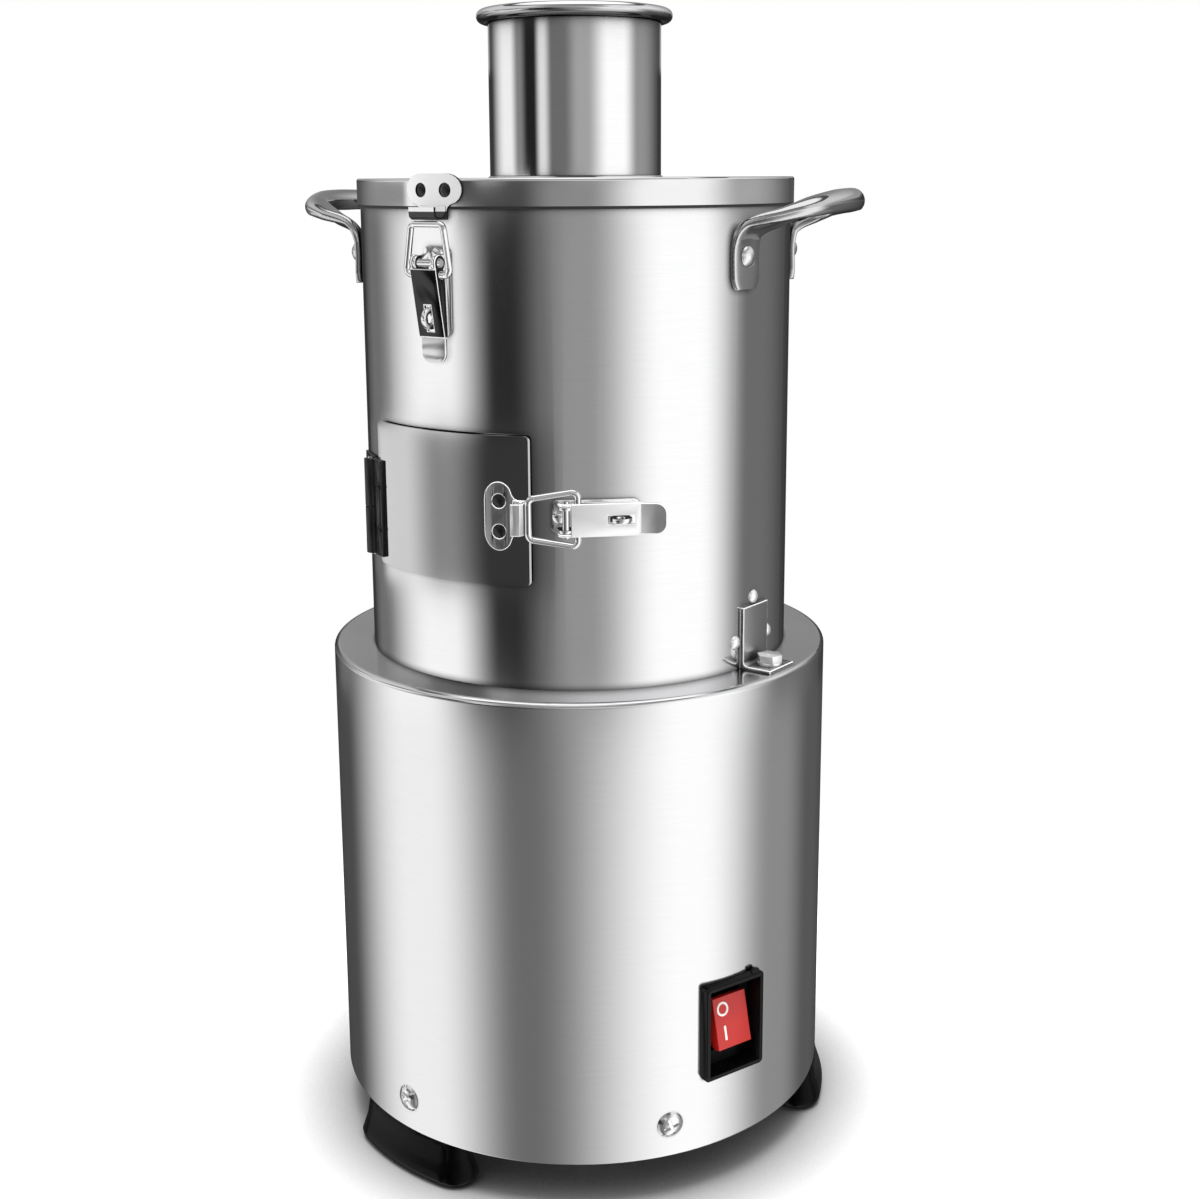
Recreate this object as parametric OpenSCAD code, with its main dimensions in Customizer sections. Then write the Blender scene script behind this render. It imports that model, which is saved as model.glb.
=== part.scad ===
// Garlic peeling machine
// Millimetres, +Z up. The origin is on the machine's axis at floor level. The
// handles lie along X, and the discharge door and the switch are on the -Y side.

/* [Base] */
// Outer diameter of the base housing
base_d = 235; // [230:1:280]
// Height of the housing from its lower edge to the ledge
base_h = 213; // [195:1:250]
// Height of the feet under the housing
foot_h = 20; // [14:1:30]
// How far the feet flare out past the housing
foot_flare = 4; // [1:0.5:7]

/* [Drum] */
// Outer diameter of the drum
drum_d = 197; // [188:1:199]
// Height of the drum above the ledge
drum_h = 212.6; // [200:0.2:260]
// Sheet thickness of the housing, the drum and the lid
sheet_t = 1; // [0.8:0.1:1.5]

/* [Lid and feed tube] */
// Depth of the lid's skirt from the top of the lid
lid_skirt_h = 11.4; // [9:0.1:12]
// Outer diameter of the feed tube
tube_d = 78.4; // [50:0.2:110]
// Height of the feed tube above the lid, without its rim
tube_h = 71; // [40:1:120]
// Diameter of the rolled rim
rim_d = 6; // [4:0.5:8]

/* [Door] */
// Arc that the door covers, degrees
door_arc = 51; // [47:0.1:58]
// Height of the door
door_h = 64; // [56:1:76]
// Height of the door's lower edge above the ledge
door_low = 46; // [36:1:70]

/* [Latches] */
// Where the front lid latch sits around the drum, degrees
lid_latch_at = -106; // [-112:1:-98]
// Where the rear lid latch sits around the drum, degrees
rear_latch_at = 104; // [94:1:116]
// Where the door latch's pivot sits around the drum, degrees
door_latch_at = -73; // [-76:1:-68]
// Diameter of the wire bails
wire_d = 2.8; // [2:0.1:3]

/* [Handles] */
// How far the handle rivets sit below the drum's top edge
handle_drop = 30.6; // [28:0.2:60]
// How far the grips stand out from the drum
handle_reach = 33.5; // [30:0.5:50]
// Half of the angle between a handle's two ends, degrees
handle_half = 24.6; // [20:0.2:28]
// Where the left handle sits round the drum, degrees
handle_left_at = 175; // [170:1:186]

/* [Switch] */
// Where the switch sits around the base, degrees
switch_at = -35.6; // [-40:0.2:-30]
// Height of the switch's centre above the housing's lower edge
switch_z = 56; // [46:1:90]
// Tilt of the rocker to each side, degrees
rocker_tilt = 13; // [8:1:15]

/* [Output] */
// Which piece to build

/* [Hidden] */
$fn = 96;
// Clearances: between bodies that move apart, round a pin that turns, and
// between pieces of one body that are fitted into each other
run_gap = 0.35;
pin_gap = 0.05;
fit_gap = 0.05;
// How far a cut runs past the wall that it goes through
past = 5;

// Heights and radii that the pieces share
base_r = base_d / 2;
drum_r = drum_d / 2;
drum_in = drum_r - sheet_t;
base_in = base_r - sheet_t;
ledge_z = foot_h + base_h;
ledge_t = 1.5;
drum_top = ledge_z + drum_h;
gasket_t = 1.2;
gasket_w = 6;
skirt_strip = 1.2;
lid_gap = 0.4;
lid_in = drum_r + lid_gap;
lid_r = lid_in + sheet_t;
lid_under = drum_top + run_gap + gasket_t;
lid_top = lid_under + sheet_t;
skirt_z = lid_top - lid_skirt_h;
edge_r = 2.5;
lid_edge_r = sheet_t + 0.3;
hem_r = 0.8;
tube_r = tube_d / 2;
tube_t = 1.2;
tube_below = 6;

// Toggle latch, in a frame with x outwards from the drum's surface, z towards
// the keeper and y across. The bail hangs on the lever below the lever's pivot
// and its bar stops just short of the keeper's hook.
metal_t = 1.2;
plate_t = 1;
pivot_x = 7;
pin_r = 1.5;
wire_r = wire_d / 2;
bail_x = 6.4;
bail_drop = 5;
bar_z = 15.7;
hook_z = bar_z + wire_r + run_gap;
lever_w = 14;
lever_end = -31;
tongue_end = -42;
eye_r = 3.4;
ear_y = lever_w / 2 - 1.5 * metal_t - run_gap;
slot_from = -28.6;
slot_to = -17.4;
latch_z = skirt_z - 5.4 - hook_z;
lid_latch_angles = [lid_latch_at, rear_latch_at];

// Keeper plate and its hook
hook_w = 13.6;
hook_reach = 8.5;
hook_lip = 5.2;
keeper_pitch = 13;
keeper_rivet_z = 12;
rivet_r = 1.6;
keeper_half = concat([[7.2, 0], [7.2, 3.6], [7.7, 5], [9, 6.1]], [for (a = [-50:14:90]) [6.9 + 7.9 * cos(a), 12.2 + 6.5 * sin(a)]]);

// Door: its plate lies over the drum on a gasket, and its free edge ends under
// the bail's bar so that it swings out past the bar
door_in = drum_r + 1.4;
door_t = 1.2;
door_r = door_in + door_t;
door_mid = ledge_z + door_low + door_h / 2;
door_latch_z = door_mid - 2;
bar_angle = atan2(bar_z, drum_r + bail_x);
bar_r = norm([drum_r + bail_x, bar_z]);
hook_at = door_latch_at - bar_angle - (wire_r + run_gap) / bar_r * 180 / PI;
door_to = door_latch_at - bar_angle + 0.2;
door_from = door_to - door_arc;
door_lap = 9;
lap_angle = door_lap / drum_r * 180 / PI;

// Door hinge: two knuckles on one pin at the door's hinged edge
hinge_off = 3.2;
hinge_at = door_from - hinge_off;
knuckle_r = 3.2;
hinge_r = drum_r + 0.4 + knuckle_r;
hinge_h = 43.5;
hinge_low = door_mid - door_h / 2 + 3;
hinge_mid = hinge_low + hinge_h / 2;
hinge_top = hinge_low + hinge_h;
leaf_t = 1.4;
leaf_sunk = 1.35;
leaf_clear = 2.3;
leaf_step = 0.2;
hinge_screw_r = 1.2;
hinge_head_r = 2.2;
hinge_head_h = 1.4;
leaf_lap = 3.5;
leaf_screw_in = 1.6;
leaf_l = 13;

// Drive
floor_z = ledge_z + 7;
floor_t = 1.5;
disc_z = floor_z + 8;
disc_t = 5;
disc_r = drum_in - 5;
shaft_r = 7;
motor_r = 58;
stator_t = 12;
bell_h = 16;
bell_t = 4;
bell_lip = 2;
motor_h = 95;
motor_top = ledge_z - ledge_t;
can_top = motor_top - bell_h;
can_low = can_top - motor_h;
bearing_r = 17.5;
bearing_h = 11;
shaft_top = disc_z + disc_t + 22;

// Base fittings
plate_rim = 26;
screw_angles = [-113, -51, 69, 129];
screw_z = foot_h + 15.5;
screw_r = 2;
screw_head_r = 6.1;
screw_head_h = 2.8;
screw_l = 8;
foot_angles = [-115.5, 16.5, 130.5];
foot_sweep = 13.4;
foot_depth = 14;
bracket_at = -18;
bracket_w = 20;
bracket_t = 1.5;
bracket_h = 28;
bolt_r = 3;
bolt_head_h = 4.4;
bolt_nut_h = 5;
bolt_at = (drum_r + bracket_t + base_r - edge_r) / 2;
gland_at = 155;
gland_r = 8;
gland_in = 9;
gland_hex = 22;
cord_r = 4;
capacitor_at = 60;
capacitor_r = 15;
capacitor_h = 60;
capacitor_mid = base_in - capacitor_r - 12;
tag_w = 6;
tag_t = 0.8;
tag_y = 6;

// Switch, in a frame with x outwards from the base's surface
bezel_w = 33;
bezel_h = 45;
bezel_out = 3;
bezel_rim = 2.2;
tray_in = 8;
tray_t = 1.5;
rocker_w = 18.4;
rocker_h = 23;
rocker_axis = -9.5;
rocker_rise = 10;
rocker_slot_h = 28;
switch_wall = 2;
switch_w = rocker_w + 2 * run_gap + 2 * switch_wall;
switch_h = rocker_slot_h + 2 * switch_wall;
switch_depth = 32;
blade = 9;
blade_pitch = 9;
switch_mid = foot_h + switch_z;
gland_z = switch_mid - blade_pitch;

// Colours, for the plain view only
steel = "silver";
bright = "gainsboro";
dark = "dimgray";
black = "#202020";
red = "#c8281e";
rubber = "#303030";

// A ring round Z, or round Y when it is laid across a latch that lies down
module ring(inner, outer, h, across = false) {
    rotate([across ? 90 : 0, 0, 0]) difference() {
        cylinder(r = outer, h = h, center = true);
        cylinder(r = inner, h = h + 2, center = true);
    }
}

// A curved strip of wall between two angles and two heights
module wall_strip(inner, outer, from, to, low, high) {
    rotate([0, 0, from]) rotate_extrude(angle = to - from)
        translate([inner, low]) square([outer - inner, high - low]);
}

// Corner points of a rectangle with rounded corners, centred on the origin
function rounded(w, h, r, n = 6) = [
    for (q = [0:3], i = [0:n])
        let (a = 90 * q + 90 * i / n, sx = q == 0 || q == 3 ? 1 : -1, sy = q < 2 ? 1 : -1)
        [sx * (w / 2 - r) + r * cos(a), sy * (h / 2 - r) + r * sin(a)]];

// A half outline, closed with its mirror image across the vertical axis
function mirrored(half) = concat(half, [for (i = [len(half) - 1:-1:0]) [-half[i][0], half[i][1]]]);

// Draws a flat outline in the plane across and up, and extrudes it outwards
module outwards(from, to) {
    translate([from, 0, 0]) rotate([90, 0, 90]) linear_extrude(to - from) children();
}

// Draws a flat outline in the plane outwards and up, and extrudes it across
module sideways(w) {
    rotate([90, 0, 0]) linear_extrude(w, center = true) children();
}

module along_y(r, h) {
    rotate([90, 0, 0]) cylinder(r = r, h = h, center = true);
}

module along_x(r, from, to) {
    translate([from, 0, 0]) rotate([0, 90, 0]) cylinder(r = r, h = to - from);
}

// Half outline of a domed head, from its rim up to the middle of its top
function dome_points(r, h, n = 6) =
    let (ball = (r * r + h * h) / (2 * h), rim = acos(r / ball))
    [for (i = [0:n]) let (a = rim + (90 - rim) * i / n) [i == n ? 0 : ball * cos(a), h - ball + ball * sin(a)]];

function raised(points, by) = [for (q = points) [q[0], q[1] + by]];

// Turns a half outline round x: each point is its distance from x and its place along x
module turned(points) {
    rotate([0, 90, 0]) rotate_extrude() polygon(points);
}

// Rivet from the inside of a wall to its outside along x, with a domed head. Its
// tail is spread against the inside, or flush with it where there is no room.
module rivet(inside, outside, r, head_r, head_h, flush = false) {
    seat = sqrt(inside * inside - head_r * head_r) - fit_gap;
    shank_r = r - fit_gap;
    tail = flush ? [[0, inside]] : [[0, seat - metal_t], [head_r, seat - metal_t], [head_r, seat]];
    turned(concat(tail,
        [[shank_r, flush ? inside : seat], [shank_r, outside]],
        raised(dome_points(head_r, head_h), outside)));
}

// Cross-recess pan head on a shank, driven inwards along x
module pan_screw(outside, r, head_r, head_h, depth) {
    slot = head_r / 4;
    difference() {
        turned(concat(
            [[0, outside - depth], [r, outside - depth], [r, outside]],
            raised(dome_points(head_r, head_h), outside)));
        for (a = [0, 90]) rotate([a + 20, 0, 0])
            translate([outside + head_h / 2, -head_r * 0.6, -slot / 2]) cube([head_h, head_r * 1.2, slot]);
    }
}

module hexagon(across_flats, h) {
    cylinder(d = across_flats / cos(30), h = h, $fn = 6);
}

module round_each(count, first) {
    for (i = [0:count - 1]) rotate([0, 0, first + 360 / count * i]) children();
}

// Base

module switch_frame() {
    rotate([0, 0, switch_at]) translate([base_r, 0, switch_mid]) children();
}

function arc_points(cx, cy, r, from, to, n = 8) =
    [for (i = [0:n]) let (a = from + (to - from) * i / n) [cx + r * cos(a), cy + r * sin(a)]];

hub_hole = bearing_r + 8;
motor_bolt_at = 48;
motor_bolts_n = 4;
motor_bolt_first = 45;
hex_across = 10;

module each_base_screw() {
    for (a = screw_angles) rotate([0, 0, a]) translate([0, 0, screw_z]) children();
}

module base_shell() {
    color(steel) difference() {
        rotate_extrude() polygon(concat(
            arc_points(base_r - hem_r, foot_h + hem_r, hem_r, -90, 0, 4),
            arc_points(base_r - edge_r, ledge_z - edge_r, edge_r, 0, 90),
            [[hub_hole, ledge_z], [hub_hole, ledge_z - ledge_t]],
            arc_points(base_r - edge_r, ledge_z - edge_r, edge_r - sheet_t, 90, 0),
            [[base_in, foot_h]]));
        switch_frame() outwards(-base_r / 4, bezel_out)
            square([bezel_w - 2 * bezel_rim + 2, bezel_h - 2 * bezel_rim + 2], center = true);
        each_base_screw() along_x(screw_r + fit_gap, base_in - past, base_r + past);
        rotate([0, 0, gland_at]) translate([0, 0, gland_z]) along_x(gland_r + fit_gap, base_in - past, base_r + past);
        round_each(motor_bolts_n, motor_bolt_first) translate([motor_bolt_at, 0, ledge_z - past]) cylinder(r = bolt_r + fit_gap, h = 2 * past);
        round_each(2, bracket_at) translate([bolt_at, 0, ledge_z - past]) cylinder(r = bolt_r + fit_gap, h = 2 * past);
    }
}

rim_r = base_in - 2 * fit_gap;
vent_w = 5;
vent_l = 26;
vent_from = 60;
vent_count = 8;
foot_screw_r = 2.5;
foot_mid = base_r - foot_depth / 2;
foot_screw_at = foot_mid - 1;
well_r = 5.6;
well_h = foot_h - 5;

module each_foot_screw() {
    for (a = foot_angles) rotate([0, 0, a]) translate([foot_screw_at, 0, 0]) children();
}

module bottom_plate() {
    color(steel) difference() {
        translate([0, 0, foot_h]) difference() {
            cylinder(r = rim_r, h = plate_rim);
            translate([0, 0, metal_t]) cylinder(r = rim_r - metal_t, h = plate_rim);
        }
        each_base_screw() along_x(screw_r + fit_gap, rim_r - past, rim_r + past);
        each_foot_screw() cylinder(r = foot_screw_r + fit_gap, h = foot_h + past);
        round_each(vent_count, 180 / vent_count) translate([vent_from, -vent_w / 2, foot_h - past]) cube([vent_l, vent_w, metal_t + 2 * past]);
    }
}

// Half of a foot's cross-section, from its sole up to its top
function foot_half(w) =
    let (round_low = 4)
    concat(arc_points(w + foot_flare - round_low, round_low, round_low, -90, 0, 6), [[w + foot_flare / 3, foot_h * 0.6], [w, foot_h]]);

// One foot: an arc with flared sides and round ends, screwed to the bottom plate
module foot(i) {
    half_w = foot_depth / 2;
    color(black) difference() {
        rotate([0, 0, foot_angles[i]]) {
            rotate([0, 0, -foot_sweep]) rotate_extrude(angle = 2 * foot_sweep) translate([foot_mid, 0]) polygon(mirrored(foot_half(half_w)));
            for (s = [-1, 1]) rotate([0, 0, s * foot_sweep]) translate([foot_mid, 0, 0])
                rotate_extrude() polygon(concat([[0, 0]], foot_half(half_w - fit_gap), [[0, foot_h]]));
        }
        each_foot_screw() {
            translate([0, 0, -past]) cylinder(r = well_r, h = well_h + past);
            cylinder(r = foot_screw_r + fit_gap, h = foot_h + past);
        }
    }
}

module foot_front() { foot(0); }
module foot_right() { foot(1); }
module foot_rear() { foot(2); }

module base_screws() {
    color(bright) each_base_screw() pan_screw(base_r, screw_r, screw_head_r, screw_head_h, screw_l);
}

module foot_screws() {
    head_h = 3;
    nut_h = 4;
    color(dark) each_foot_screw() {
        translate([0, 0, well_h - head_h]) cylinder(r = well_r - 1, h = head_h);
        translate([0, 0, well_h - head_h]) cylinder(r = foot_screw_r, h = head_h + foot_h - well_h + metal_t + nut_h + 1);
        translate([0, 0, foot_h + metal_t]) rotate([0, 0, 30]) hexagon(hex_across, nut_h);
    }
}

// Switch: a thick frame with a tray sunk into the housing, a body behind the
// tray and a flat rocker that is pressed in at its top when it is off

module switch_bezel() {
    inner_w = bezel_w - 2 * bezel_rim;
    inner_h = bezel_h - 2 * bezel_rim;
    chamfer = 0.6;
    color(black) switch_frame() difference() {
        union() {
            difference() {
                union() {
                    outwards(-3, bezel_out - chamfer) polygon(rounded(bezel_w, bezel_h, 2));
                    outwards(bezel_out - chamfer, bezel_out) polygon(rounded(bezel_w - 2 * chamfer, bezel_h - 2 * chamfer, 2));
                    translate([0.4, bezel_w / 2 - 6, bezel_h / 2 - 0.5]) cube([1.8, 3.5, 1.8]);
                }
                translate([-base_r, 0, 0]) cylinder(r = base_r, h = 2 * bezel_h, center = true);
            }
            outwards(-tray_in, 1) square([inner_w + 1.6, inner_h + 1.6], center = true);
        }
        outwards(-tray_in + tray_t, bezel_out + 1) square([inner_w, inner_h], center = true);
        outwards(-tray_in - 1, bezel_out) square([switch_w + 2 * fit_gap, switch_h + 2 * fit_gap], center = true);
    }
}

module switch_body() {
    color(dark) switch_frame() {
        difference() {
            outwards(-switch_depth, -tray_in + tray_t) square([switch_w, switch_h], center = true);
            outwards(-switch_depth + 6, 0) square([rocker_w + 2 * run_gap, rocker_slot_h], center = true);
            translate([rocker_axis, 0, 0]) along_y(pin_r + pin_gap, switch_w + 2);
        }
        for (s = [-1, 0, 1]) translate([-switch_depth - blade, -0.4, s * blade_pitch - 3]) cube([blade + 1, 0.8, 6]);
    }
}

module rocker_frame() {
    switch_frame() translate([rocker_axis, 0, 0]) rotate([0, -rocker_tilt, 0]) children();
}

module rocker() {
    slab = 3.5;
    color(red) rocker_frame() {
        sideways(rocker_w) {
            polygon([[rocker_rise, -rocker_h / 2], [rocker_rise, rocker_h / 2], [rocker_rise - slab, rocker_h / 2], [-2, 5], [-2, -5], [rocker_rise - slab, -rocker_h / 2]]);
            circle(r = 3);
        }
        along_y(pin_r, rocker_w + 2 * run_gap + 3);
    }
}

module rocker_marks() {
    mark_y = -rocker_w * 0.24;
    mark_t = 0.25;
    color("white") rocker_frame() outwards(rocker_rise, rocker_rise + mark_t) {
        translate([mark_y, rocker_h * 0.27]) difference() {
            circle(r = 3.2);
            circle(r = 2.2);
        }
        translate([mark_y, -rocker_h * 0.2]) square([1.1, 6.4], center = true);
    }
}

// Cable gland, with no cord in it
module cable_gland() {
    flange = 5;
    cap_r = 9.4;
    gland_out = 17;
    color(black) rotate([0, 0, gland_at]) translate([0, 0, gland_z]) difference() {
        union() {
            along_x(gland_r, base_in - gland_in, base_r + 2);
            translate([base_r, 0, 0]) rotate([0, 90, 0]) hexagon(gland_hex, flange);
            turned([[0, base_r + flange - 0.5], [cap_r, base_r + flange - 0.5], [cap_r, base_r + 12], [cap_r - 3, base_r + gland_out], [0, base_r + gland_out]]);
        }
        along_x(cord_r, base_in - gland_in - past, base_r + gland_out + past);
    }
}

module gland_nut() {
    nut_h = 5;
    seat = base_in - sqrt(base_in * base_in - gland_hex * gland_hex / 3) + fit_gap;
    color(black) rotate([0, 0, gland_at]) translate([base_in - seat - nut_h, 0, gland_z]) difference() {
        rotate([0, 90, 0]) hexagon(gland_hex, nut_h);
        along_x(gland_r + fit_gap, -past, nut_h + past);
    }
}

// Motor

module motor_housing() {
    color(steel) translate([0, 0, can_low]) difference() {
        cylinder(r = motor_r, h = motor_h);
        translate([0, 0, -past]) cylinder(r = motor_r - stator_t, h = motor_h + 2 * past);
    }
}

// An end bell with a seat for its bearing, open towards the rotor
module bell() {
    seat_h = bell_h - bell_t;
    difference() {
        cylinder(r = motor_r + bell_lip, h = bell_h);
        difference() {
            translate([0, 0, -past]) cylinder(r = motor_r - stator_t, h = seat_h + past);
            translate([0, 0, seat_h - bearing_h]) cylinder(r = bearing_r + bell_t, h = bell_h);
        }
        translate([0, 0, -past]) cylinder(r = bearing_r + fit_gap, h = seat_h + past);
        translate([0, 0, -past]) cylinder(r = shaft_r + 1, h = bell_h + 2 * past);
    }
}

module motor_top_bell() {
    color(dark) translate([0, 0, can_top]) difference() {
        bell();
        round_each(motor_bolts_n, motor_bolt_first) translate([motor_bolt_at, 0, -past]) cylinder(r = bolt_r + fit_gap, h = bell_h + 2 * past);
    }
}

module motor_bottom_bell() {
    color(dark) translate([0, 0, can_low]) mirror([0, 0, 1]) bell();
}

module motor_bolts() {
    color(bright) round_each(motor_bolts_n, motor_bolt_first) translate([motor_bolt_at, 0, ledge_z]) {
        hexagon(hex_across, bolt_head_h);
        translate([0, 0, bell_lip - bell_h]) cylinder(r = bolt_r, h = bell_h);
    }
}

bearing_top_z = can_top + bell_h - bell_t - bearing_h;
bearing_low_z = can_low - bell_h + bell_t;

module bearings() {
    color(bright) for (z = [bearing_top_z, bearing_low_z]) translate([0, 0, z]) difference() {
        cylinder(r = bearing_r, h = bearing_h);
        translate([0, 0, -past]) cylinder(r = shaft_r + pin_gap, h = bearing_h + 2 * past);
    }
}

module capacitor() {
    color(bright) rotate([0, 0, capacitor_at]) translate([capacitor_mid, 0, foot_h + metal_t]) {
        cylinder(r = capacitor_r, h = capacitor_h);
        for (s = [-1, 1]) translate([-tag_w / 2, s * tag_y - tag_t / 2, capacitor_h - 1]) cube([tag_w, tag_t, blade]);
    }
}

module capacitor_clip() {
    clip_h = 14;
    clip_z = 22;
    leg_l = 10;
    color(steel) rotate([0, 0, capacitor_at]) translate([capacitor_mid, 0, foot_h + metal_t]) {
        translate([0, 0, clip_z]) difference() {
            cylinder(r = capacitor_r + metal_t, h = clip_h);
            translate([0, 0, -past]) cylinder(r = capacitor_r + fit_gap, h = clip_h + 2 * past);
        }
        translate([-clip_h / 2, capacitor_r + fit_gap, 0]) {
            cube([clip_h, metal_t, clip_z + 1]);
            cube([clip_h, leg_l, metal_t]);
        }
    }
}

// A wire that starts along z and bends in the plane across and up. Each step is
// a straight length, a bend radius and a bend angle, positive towards y. A bead a
// hair wider than the wire joins each length to the next one.
joint_gap = 0.1;
joint_bead = 0.03;

module wire(steps, r, i = 0) {
    run = steps[i][0];
    bend = steps[i][1];
    turn = abs(steps[i][2]);
    side = steps[i][2] < 0 ? 1 : 0;
    trim = joint_gap / bend * 180 / PI;
    low = i > 0 ? joint_gap : 0;
    translate([0, 0, low]) cylinder(r = r, h = run - low - (turn > 0 ? joint_gap : 0));
    if (turn > 0) translate([0, 0, run]) mirror([0, side, 0]) {
        sphere(r = r + joint_bead);
        translate([0, bend, 0]) rotate([90, 0, -90]) rotate([0, 0, trim]) rotate_extrude(angle = turn - 2 * trim)
            translate([bend, 0]) circle(r = r);
        translate([0, bend * (1 - cos(turn)), bend * sin(turn)]) rotate([-turn, 0, 0]) {
            sphere(r = r + joint_bead);
            mirror([0, side, 0]) wire(steps, r, i + 1);
        }
    }
}

// Leads: gland to switch round the motor, switch to motor, motor to capacitor
module leads() {
    lead_r = 1.6;
    blade_end = base_r - switch_depth - blade;
    run_r = blade_end - lead_r - fit_gap;
    color("saddlebrown") {
        translate([0, 0, gland_z]) {
            rotate([0, 0, gland_at]) along_x(lead_r, run_r, base_in - gland_in - 4);
            rotate([0, 0, gland_at]) rotate_extrude(angle = 360 + switch_at - gland_at)
                translate([run_r, 0]) circle(r = lead_r);
        }
        rotate([0, 0, switch_at]) translate([0, 0, switch_mid + blade_pitch])
            along_x(lead_r, motor_r + fit_gap, blade_end - fit_gap);
        rotate([0, 0, capacitor_at]) translate([0, tag_y, foot_h + metal_t + capacitor_h + blade / 2])
            along_x(lead_r, motor_r + fit_gap, capacitor_mid - tag_w / 2 - fit_gap);
    }
}

// Everything that the motor turns inside its housing
module rotor() {
    core_r = motor_r - stator_t - 8;
    core_inset = 14;
    shaft_low = can_low - bell_h - 4;
    color(dark) {
        translate([0, 0, shaft_low]) cylinder(r = shaft_r, h = shaft_top - shaft_low);
        translate([0, 0, can_low + core_inset]) cylinder(r = core_r, h = motor_h - 2 * core_inset);
    }
}

// Drum

rivet_head = 2.7;
rivet_dome = 0.9;
keeper_hole_r = rivet_head + 0.3;
handle_rivet_r = 2.5;
handle_head_r = 4.4;
handle_head_h = 2.2;
handle_rivet_z = drum_top - handle_drop;

module lid_latch_frame(i) {
    rotate([0, 0, lid_latch_angles[i]]) translate([drum_r, 0, latch_z]) children();
}

module door_latch_frame() {
    rotate([0, 0, door_latch_at]) translate([drum_r, 0, door_latch_z]) rotate([90, 0, 0]) children();
}

latch_rivet_z = [3.2, -11];

// Places for the latch rivets, with the origin on the drum's axis
module each_latch_rivet() {
    for (i = [0, 1], z = latch_rivet_z) lid_latch_frame(i) translate([-drum_r, 0, z]) children();
    for (z = latch_rivet_z) rotate([0, 0, door_latch_at - z / drum_r * 180 / PI])
        translate([0, 0, door_latch_z]) children();
}

module each_handle_rivet() {
    for (a = [0, handle_left_at], s = [-1, 1]) rotate([0, 0, a + s * handle_half]) translate([0, 0, handle_rivet_z]) children();
}

leaf_from = hinge_at - leaf_l;
leaf_screw_z = [hinge_low + 12, hinge_top - 12];

module each_drum_hinge_screw() {
    for (z = leaf_screw_z) rotate([0, 0, leaf_from + 4]) translate([0, 0, z]) children();
}

module each_door_hinge_screw() {
    for (z = leaf_screw_z) rotate([0, 0, door_from + leaf_lap - leaf_screw_in]) translate([0, 0, z]) children();
}

module drum_shell() {
    color(steel) difference() {
        translate([0, 0, ledge_z]) difference() {
            cylinder(r = drum_r, h = drum_h);
            translate([0, 0, -past]) cylinder(r = drum_in, h = drum_h + 2 * past);
        }
        wall_strip(drum_in - past, drum_r + past, door_from + lap_angle, door_to - lap_angle,
            door_mid - door_h / 2 + door_lap, door_mid + door_h / 2 - door_lap);
        each_latch_rivet() along_x(rivet_r, drum_in - past, drum_r + past);
        each_handle_rivet() along_x(handle_rivet_r, drum_in - past, drum_r + past);
        each_drum_hinge_screw() along_x(hinge_screw_r + fit_gap, drum_in - past, drum_r + past);
    }
}

seal_r = 13;

module drum_floor() {
    color(steel) translate([0, 0, floor_z]) difference() {
        cylinder(r = drum_in - fit_gap, h = floor_t);
        translate([0, 0, -past]) cylinder(r = seal_r + fit_gap, h = floor_t + 2 * past);
    }
}

module shaft_seal() {
    lip_h = 2;
    lip_w = 3;
    seal_h = floor_t + 2 * lip_h;
    color(rubber) translate([0, 0, floor_z - lip_h]) difference() {
        union() {
            cylinder(r = seal_r, h = seal_h);
            cylinder(r = seal_r + lip_w, h = lip_h);
        }
        translate([0, 0, -past]) cylinder(r = shaft_r + run_gap, h = seal_h + 2 * past);
    }
}

strip_angles = [-62, -12, 38, 88, 138, -172];

module wall_strips() {
    strip_t = 3;
    strip_half = 3;
    color(rubber) for (a = strip_angles)
        wall_strip(drum_in - strip_t, drum_in - fit_gap, a - strip_half, a + strip_half, disc_z + disc_t + 12, skirt_z - 14);
}

hub_r = 16;
hub_h = disc_t + 6;
nut_z = disc_z + hub_h;

module peeling_disc() {
    color(bright) translate([0, 0, disc_z]) difference() {
        union() {
            cylinder(r = disc_r, h = disc_t);
            cylinder(r = hub_r, h = hub_h);
        }
        translate([0, 0, -past]) cylinder(r = shaft_r + fit_gap, h = hub_h + 2 * past);
    }
}

module disc_pads() {
    pad_count = 8;
    pad_w = 10;
    pad_h = 4;
    pad_from = hub_r + 8;
    color(rubber) translate([0, 0, disc_z + disc_t]) round_each(pad_count, 0)
        translate([pad_from, -pad_w / 2, 0]) cube([disc_r - pad_from - 8, pad_w, pad_h]);
}

// Cap nut that closes the shaft's end
module disc_nut() {
    across = 22;
    hex_h = 10;
    cap_h = 10;
    color(bright) translate([0, 0, nut_z]) difference() {
        union() {
            hexagon(across, hex_h);
            translate([0, 0, hex_h]) cylinder(r1 = across / 2 - 0.6, r2 = 5, h = cap_h);
        }
        translate([0, 0, -past]) cylinder(r = shaft_r + fit_gap, h = shaft_top - nut_z + past + fit_gap);
    }
}

// Angle bracket that ties the drum to the ledge
module bracket(a) {
    bend_r = 2;
    upright = drum_r + bracket_t;
    toe = base_r - edge_r - 1;
    color(steel) rotate([0, 0, a]) difference() {
        translate([0, 0, ledge_z]) sideways(bracket_w) polygon(concat(
            [[drum_r - 1, bracket_h], [drum_r - 1, 0], [toe, 0], [toe, bracket_t]],
            arc_points(upright + bend_r, bracket_t + bend_r, bend_r, 270, 180),
            [[upright, bracket_h]]));
        cylinder(r = drum_r + 2 * fit_gap, h = drum_top);
        translate([bolt_at, 0, ledge_z - past]) cylinder(r = bolt_r + fit_gap, h = 2 * past + bracket_t);
    }
}

module bracket_right() { bracket(bracket_at); }
module bracket_left() { bracket(bracket_at + 180); }

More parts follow.
